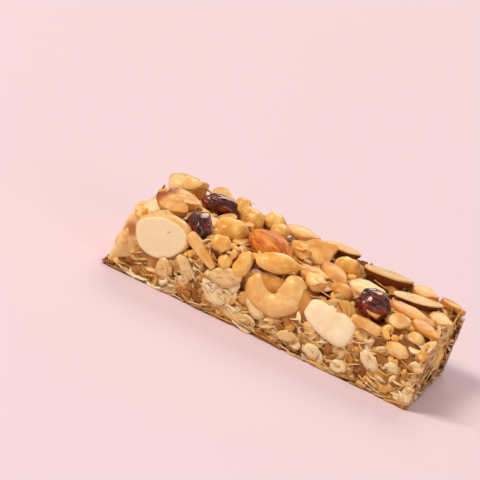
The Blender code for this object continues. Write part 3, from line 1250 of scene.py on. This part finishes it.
class OatCoat:
    """The rolled oats, pressed in layers against every wall of the mould."""

    def __init__(self, around: Surroundings, rng: random.Random) -> None:
        """Make the flakes' masters and two empty swarms."""
        self.around = around
        self.rng = rng
        masters = SmallBench.flakes(6)
        self.swarm = Swarm("oat_flakes_sides", masters, around.mould)
        self.loose = Swarm("oat_flakes_top_and_base", masters, around.mould)

    def size(self) -> Vector:
        """Half the size of one flake."""
        length = self.rng.triangular(2.2, 4.4, 2.8)
        return Vector((length, length * self.rng.uniform(0.62, 0.8), self.rng.uniform(0.5, 0.8))) * MM

    def flake(
        self,
        place: Vector,
        normal: Vector,
        outward: Vector,
        plane: float,
        size: Vector,
        allow: float,
        shade: float = 1.0,
        other: Swarm | None = None,
    ) -> bool:
        """Lay one flake if it hides no nut.

        Args:
            place: a point on the wall.
            normal: the direction that the flake faces.
            outward: the wall's outward normal.
            plane: how far out the flake's outermost point comes.
            size: the flake's half sizes.
            allow: the share of the flake that may lie over a nut.
            shade: how light the flake may be, from 0 to 1; held low for sunk flakes, as painted shade.
            other: another swarm to take the piece from.

        Returns:
            Whether it was laid.
        """
        swarm = other or self.swarm
        spin = Matrix.Rotation(self.rng.uniform(-math.pi, math.pi), 4, "Z")
        turn = normal.to_track_quat("Z", "X").to_matrix().to_4x4()
        kind = self.rng.randrange(len(swarm.shapes))
        matrix = Matrix.Translation(place) @ turn @ spin @ Matrix.Diagonal((*size, 1.0))
        rows = swarm.placed(kind, matrix)
        reach = rows @ np.array(outward)
        rows = rows - np.array(outward) * (reach.max() - plane)
        reach = rows @ np.array(outward)
        front = rows[reach > reach.max() - 1.4 * MM]
        if self.around.hides_nut(front, -outward, 3.5 * MM) > allow:
            return False
        swarm.lay(kind, rows, size, self.rng.random() * shade, self.rng.uniform(0, 90))
        return True

    def cover(
        self,
        wall: Wall,
        step: float,
        row: float,
        scale: float = 1.0,
        sunk: float = 0.0,
        shade: float = 1.0,
    ) -> None:
        """Lay flakes over a wall in rows, most of them edge-on and some facing out.

        Args:
            wall: the wall.
            step: the mean distance between flakes in a row, in metres.
            row: the distance between rows.
            scale: the flakes' size against the usual one.
            sunk: how far the flakes keep behind the wall, in metres.
            shade: how light the lightest of them are, from 0 to 1; a low value paints a sunk coat darker, as
                painted shade.
        """
        rng = self.rng
        height = wall.low
        while height < wall.high:
            place = -wall.half_length
            while place < wall.half_length:
                place += step * rng.uniform(0.6, 1.4)
                if wall.smooth_end(wall.along * place + wall.outward * wall.plane, height, rng):
                    continue
                at = wall.along * place + UP * (height + rng.uniform(-0.4, 0.4) * row)
                at += wall.outward * wall.plane
                if rng.random() < 0.62:
                    tilt = Euler((rng.gauss(0, 0.36), rng.gauss(0, 0.36), 0.0)).to_matrix()
                    normal = tilt @ UP
                else:
                    lean = rng.uniform(-0.9, 0.9)
                    normal = wall.outward + UP * math.tan(lean) + wall.along * rng.gauss(0, 0.35)
                normal.normalize()
                plane = wall.plane - sunk - abs(rng.gauss(0, 0.7)) * MM
                self.flake(at, normal, wall.outward, plane, self.size() * scale, 0.03, shade)
            height += row

    def show(self, wall: Wall) -> None:
        """Lay the large flakes that catch the eye on the near side, in front of the others.

        Args:
            wall: the near side.
        """
        for x, z, length, width, turn in SHOWN_FLAKES:
            place = wall.along * x * MM + UP * z * MM + wall.outward * wall.plane
            size = Vector((length / 2, width / 2, 0.6)) * MM
            face = (wall.outward + UP * self.rng.uniform(-0.1, 0.3)).to_track_quat("Z", "Y").to_matrix()
            spin = Matrix.Rotation(math.radians(turn), 4, "Z")
            matrix = Matrix.Translation(place) @ face.to_4x4() @ spin @ Matrix.Diagonal((*size, 1.0))
            kind = self.rng.randrange(len(self.swarm.shapes))
            rows = self.swarm.placed(kind, matrix)
            out = (rows @ np.array(wall.outward)).max() - wall.plane + 0.15 * MM
            rows = rows - np.array(wall.outward) * out
            self.swarm.lay(kind, rows, size, self.rng.uniform(0.55, 0.9), self.rng.uniform(0, 90))

    def plug(self, swarm: Swarm, wall: Wall, tries: int) -> None:
        """Fill what is still hollow or bare in a wall, with lumps of another swarm or with flakes.

        Args:
            swarm: the swarm that the lumps join.
            wall: the wall.
            tries: how many places are looked at.
        """
        rng = self.rng
        for _ in range(3):
            seen = [self.around.core, self.around.nuts, self.swarm.tree(), swarm.tree()]
            for _ in range(tries // 3):
                at = wall.along * rng.uniform(-1, 1) * wall.half_length + UP * rng.uniform(2 * MM, wall.high)
                start = at + wall.outward * (wall.plane + 1 * MM)
                casts = [tree.ray_cast(start, -wall.outward)[3] if tree else None for tree in seen]
                core, *others = [9 * MM if cast is None else cast for cast in casts]
                covered = min(others) < min(core, 2.3 * MM)
                if covered or wall.smooth_end(at + wall.outward * wall.plane, at.z, rng):
                    continue
                place = at + wall.outward * wall.plane
                normal = (wall.outward + Vector([rng.gauss(0, 0.3) for _ in range(3)])).normalized()
                plane = wall.plane - rng.uniform(0.3, 0.9) * MM
                # Fill flakes sit 0.3 to 0.9 mm behind the wall with tints up to 0.8 only, a mild painted
                # shade.
                if at.z < 9 * MM or rng.random() < 0.4:
                    self.flake(place, normal, wall.outward, plane, self.size(), 0.03, 0.8)
                else:
                    half = Vector((rng.uniform(1.8, 3.2), rng.uniform(1.4, 2.2), rng.uniform(1.1, 1.6))) * MM
                    half *= rng.uniform(0.4, 1.0)
                    self.flake(place, normal, wall.outward, plane, half, 0.03, 1.0, swarm)

    def pave(self, low: Vector, high: Vector, step: float) -> None:
        """Lay flakes flat against the mould's floor, which becomes the bar's base."""
        rng = self.rng
        down = -UP
        y = low.y
        while y < high.y:
            x = low.x
            while x < high.x:
                place = Vector((x + rng.uniform(-2, 2) * MM, y + rng.uniform(-2, 2) * MM, 0.0))
                normal = Vector((rng.gauss(0, 0.16), rng.gauss(0, 0.16), -1.0)).normalized()
                sunk = -max(0.0, rng.gauss(0.1, 0.25)) * MM
                self.flake(place, normal, down, sunk, self.size(), 1.0, 1.0, self.loose)
                x += step * rng.uniform(0.7, 1.3)
            y += step * 0.8


class TopFill:
    """The crisps, flakes and almond chips between the nuts on top."""

    def __init__(self, around: Surroundings, rng: random.Random) -> None:
        """Remember where things lie."""
        self.around = around
        self.rng = rng
        self.taken: list[tuple[float, float, float]] = []

    def crowded(self, x: float, y: float, reach: float, spacing: float) -> bool:
        """Whether a piece would crowd one that is already there.

        Args:
            x: its place along the bar.
            y: its place across the bar.
            reach: its mean radius.
            spacing: the share of both radii that has to stay between the middles.

        Returns:
            True where there is no room.
        """
        return any(math.hypot(x - a, y - b) < spacing * (reach + r) for a, b, r in self.taken)

    def ground(self, x: float, y: float) -> tuple[Vector, Vector] | None:
        """The core's surface below a point, and its normal."""
        place, normal, _, _ = self.around.core.ray_cast(Vector((x, y, 60 * MM)), -UP)
        return (place, normal) if place else None

    def scatter(
        self,
        swarm: Swarm,
        count: int,
        size: Callable[[], Vector],
        tilt: float,
        lift: tuple[float, float],
        allow: float,
        spacing: float,
    ) -> None:
        """Drop pieces into the gaps between the nuts.

        Args:
            swarm: the swarm that they join.
            count: how many are tried.
            size: gives half the size of one.
            tilt: the spread of their tilt, in radians.
            lift: the lowest and highest place of their middles above the core.
            allow: the share of a piece that may lie over a nut.
            spacing: how far apart the pieces keep, as a share of their radii.
        """
        rng = self.rng
        low, high = self.around.mould.low, self.around.mould.high
        for _ in range(count):
            x = rng.uniform(low.x + 1.5 * MM, high.x - 1.5 * MM)
            y = rng.uniform(low.y + 1.2 * MM, high.y - 1.2 * MM)
            found = self.ground(x, y)
            if not found:
                continue
            place, normal = found
            half = size()
            if x < -43 * MM and rng.random() < 0.8:
                continue
            if place.z < 16 * MM or self.crowded(x, y, half.x, spacing):
                continue
            facing = normal + Vector((rng.gauss(0, tilt), rng.gauss(0, tilt), 0.6))
            turn = facing.normalized().to_track_quat("Z", "X").to_matrix().to_4x4()
            spin = Matrix.Rotation(rng.uniform(-math.pi, math.pi), 4, "Z")
            middle = place + UP * rng.uniform(*lift)
            kind = rng.randrange(len(swarm.shapes))
            matrix = Matrix.Translation(middle) @ turn @ spin @ Matrix.Diagonal((*half, 1.0))
            rows = swarm.placed(kind, matrix)
            if rows[:, 2].max() > high.z or self.around.hides_nut(rows, -UP, 5 * MM) > allow:
                continue
            self.taken.append((x, y, half.x))
            swarm.lay(kind, rows, half, rng.random(), rng.uniform(0, 90))


# ---------------------------------------------------------------------------------------------
# The studio
# ---------------------------------------------------------------------------------------------


@dataclass
class Studio:
    """The pale floor, the soft lights and the camera."""

    floor_size: float = 6.0
    aim: tuple[float, float, float] = (-23.4 * MM, 21.7 * MM, 10.5 * MM)
    azimuth: float = 13.23
    elevation: float = 17.70
    roll: float = 21.41
    distance: float = 699.7 * MM
    view_angle: float = 12.0

    def floor(self) -> None:
        """A plain floor that reaches past the view."""
        bpy.ops.object.select_all(action="DESELECT")
        bpy.ops.mesh.primitive_plane_add(size=self.floor_size)
        floor = bpy.context.object
        floor.name = "floor"
        floor.data.materials.append(FLOOR.material())
        floor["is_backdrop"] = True

    def lamp(self, name: str, place: tuple[float, float, float], size: float, watts: float) -> None:
        """A square soft box that faces the bar.

        Args:
            name: the lamp's name.
            place: where it hangs, in metres.
            size: its side.
            watts: its power.
        """
        bpy.ops.object.light_add(type="AREA", location=place)
        lamp = bpy.context.object
        lamp.name = name
        lamp.data.size = size
        lamp.data.energy = watts
        lamp.data.color = linear("#FFF3E2")[:3]
        lamp.rotation_euler = Vector(place).to_track_quat("Z", "Y").to_euler()

    def lights(self) -> None:
        """A soft key from above on the left, weaker lights behind and at the square end, and an even sky."""
        self.lamp("key_light", (-1.15, -0.9, 1.6), 0.8, 34.0)
        self.lamp("back_light", (-0.2, 1.4, 1.2), 1.0, 12.0)
        self.lamp("end_light", (1.3, -0.8, 0.5), 0.8, 5.0)
        world = bpy.data.worlds.new("studio_sky")
        world.use_nodes = True
        sky = world.node_tree.nodes["Background"]
        sky.inputs["Color"].default_value = linear("#FFF4F2")
        sky.inputs["Strength"].default_value = 0.36
        bpy.context.scene.world = world
        bpy.context.scene.view_settings.view_transform = "Standard"

    def camera(self) -> None:
        """A long lens that looks down along the bar, turned so that the bar runs downhill."""
        turn, rise = math.radians(self.azimuth), math.radians(self.elevation)
        back = Vector(
            (math.sin(turn) * math.cos(rise), -math.cos(turn) * math.cos(rise), math.sin(rise))
        )
        bpy.ops.object.camera_add(location=Vector(self.aim) + back * self.distance)
        camera = bpy.context.object
        camera.name = "camera"
        level = back.to_track_quat("Z", "Y").to_matrix()
        camera.rotation_euler = (level @ Matrix.Rotation(math.radians(self.roll), 3, "Z")).to_euler()
        camera.data.angle = math.radians(self.view_angle)
        camera.data.clip_start = 0.01
        bpy.context.scene.camera = camera

    def build(self) -> None:
        """Set up the studio."""
        self.floor()
        self.lights()
        self.camera()


# ---------------------------------------------------------------------------------------------
# The bar
# ---------------------------------------------------------------------------------------------


def tree_of(pieces: Sequence[bpy.types.Object]) -> BVHTree:
    """One tree of the faces of several pieces, for rays."""
    rows: list[list[float]] = []
    faces: list[list[int]] = []
    for piece in pieces:
        start = len(rows)
        rows.extend(corners(piece.data).tolist())
        faces.extend([[start + i for i in p.vertices] for p in piece.data.polygons])
    return BVHTree.FromPolygons(rows, faces)


def box_of(low: Vector, high: Vector) -> list[list[float]]:
    """A box as plain lists."""
    return [list(low), list(high)]


def main() -> None:
    """Build the bar in order: the frame, the nuts, the core, the small pieces and the studio."""
    logging.basicConfig(level=logging.INFO, format="%(message)s")
    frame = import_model()
    cad_box = box_of(*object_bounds())
    solids = dict(frame["nodes"])
    rng = random.Random(11)
    core = SyrupCore().build(solids)
    LOG.info("syrup_core: %d faces", len(core.data.polygons))
    bench = NutBench()
    nuts = [nut.build(bench, solids[nut.node], rng) for nut in nuts_of_the_bar()]
    LOG.info("nuts: %d pieces, %d faces", len(nuts), sum(len(n.data.polygons) for n in nuts))
    low, high = Vector(cad_box[0]), Vector(cad_box[1])
    mould = Mould(low + Vector((0.1, 0.05, 0.02)) * MM, high - Vector((0.1, 0.05, 0.0)) * MM)
    around = Surroundings(tree_of(nuts), tree_of([core]), mould)

    oats = OatCoat(around, rng)
    chopped = Swarm("chopped_nuts", SmallBench.chopped(5), mould)
    block_low, block_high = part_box(BLOCK)
    side, end = block_high.y, block_high.x
    top = block_high.z - 1.2 * MM
    for sign in (-1.0, 1.0):
        long_side = Wall(
            Vector((0.0, sign, 0.0)), Vector((1.0, 0.0, 0.0)), side + 0.2 * MM, end - 1 * MM, 0.6 * MM, top
        )
        short_side = Wall(
            Vector((sign, 0.0, 0.0)), Vector((0.0, 1.0, 0.0)), end - 0.4 * MM, side - 1 * MM, 0.6 * MM, top
        )
        for wall in (long_side, short_side):
            oats.cover(wall, 2.7 * MM, 1.25 * MM)
            if wall.outward.y < 0:
                oats.show(wall)
            # The second coat lies 0.9 mm behind the first with tints up to 0.45 only: painted shade in the
            # gaps between the front flakes.
            oats.cover(wall, 2.9 * MM, 1.8 * MM, 0.7, 0.9 * MM, 0.45)
            oats.plug(chopped, wall, 1200)
    oats.pave(low, high, 3.5 * MM)
    fill = TopFill(around, rng)
    chips = Swarm("almond_chips", SmallBench.slivers(3), mould)
    fill.scatter(
        chips,
        300,
        lambda: Vector((rng.uniform(3.0, 4.6), rng.uniform(2.2, 3.2), rng.uniform(0.7, 1.0))) * MM,
        0.35,
        (0.3 * MM, 1.4 * MM),
        0.03,
        0.55,
    )
    chips.finish(GOLD_SLICE, "blanched_nut")

    fill.scatter(
        chopped,
        2400,
        lambda: Vector((rng.uniform(1.9, 3.3), rng.uniform(1.5, 2.4), rng.uniform(1.2, 1.9))) * MM,
        0.4,
        (-0.2 * MM, 0.8 * MM),
        0.01,
        0.6,
    )
    chopped.finish(BLANCHED_NUT, "blanched_nut")
    fill.scatter(oats.loose, 700, oats.size, 0.4, (-0.3 * MM, 0.4 * MM), 0.05, 0.5)
    oats.swarm.finish(OATS, "oats")
    oats.loose.finish(OATS, "oats")

    Studio().build()


if __name__ == "__main__":
    main()
